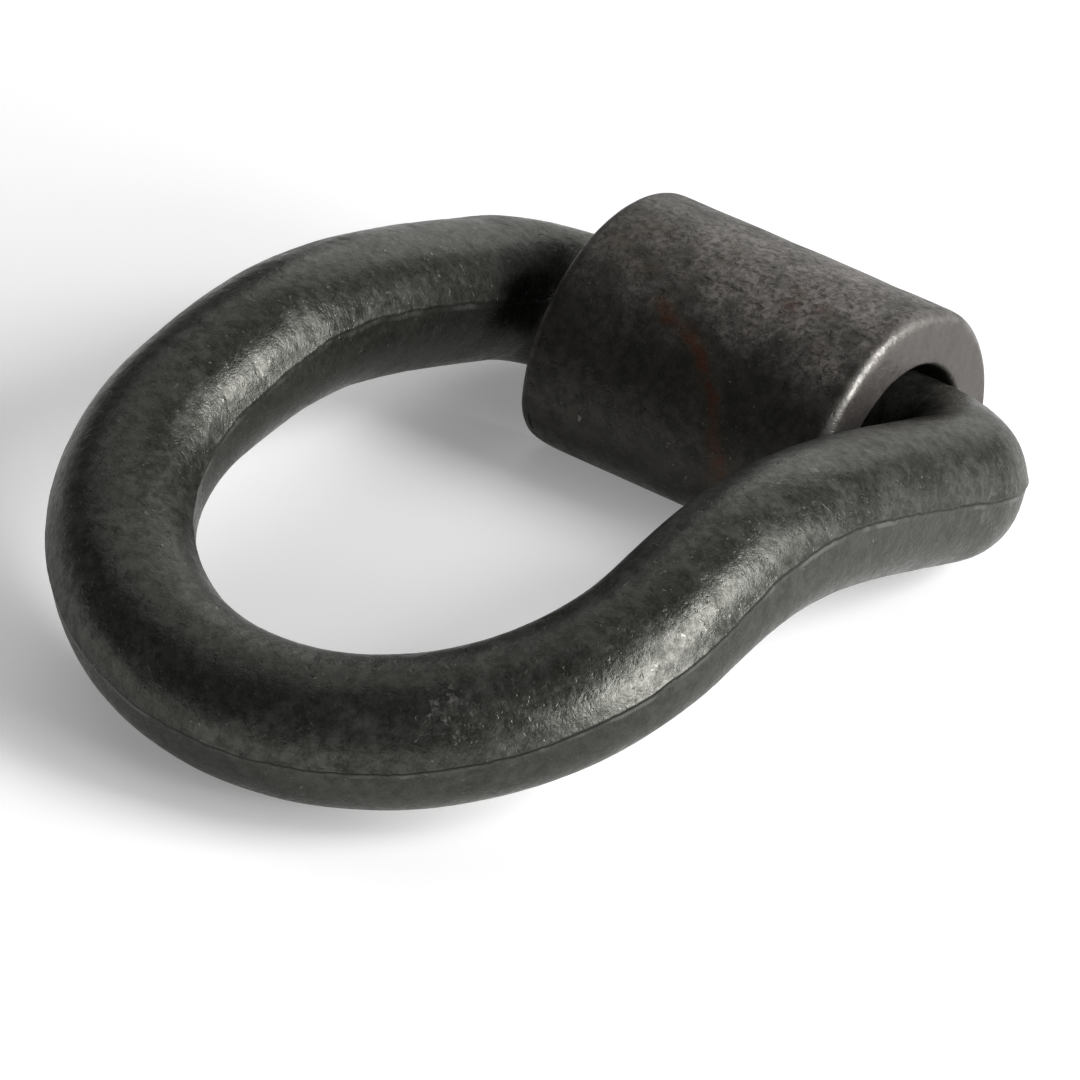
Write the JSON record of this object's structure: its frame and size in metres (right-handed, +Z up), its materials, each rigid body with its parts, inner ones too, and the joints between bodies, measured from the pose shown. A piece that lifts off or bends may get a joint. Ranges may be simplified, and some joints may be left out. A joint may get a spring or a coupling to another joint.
{
  "type": "weld-on pad eye",
  "caption": "Forged bent D-ring that swings in a half-pipe saddle, welded to a deck or hull as a lashing and lifting point.",
  "frame": {"origin": "middle of the saddle's weld footprint, on the deck plane", "axes": "+Z up off the deck, X along the saddle's bore and the hinge axis, the ring lies towards -Y at rest"},
  "size_m": [0.1258, 0.1854, 0.0447],
  "materials": {
    "ring_steel": "unpainted forging, dark mill scale with a satin sheen",
    "saddle_steel": "unpainted forging, brownish mill scale with light rust tints"
  },
  "bodies": {
    "saddle": {"weld_saddle": "saddle_steel"},
    "ring": {"forged_ring": "ring_steel"}
  },
  "joints": [
    {"name": "ring_swing", "type": "hinge", "parent": "saddle", "child": "ring", "pos_m": [0, 0.0047, 0.0131], "axis": [-1, 0, 0], "range_deg": [0, 160]}
  ]
}
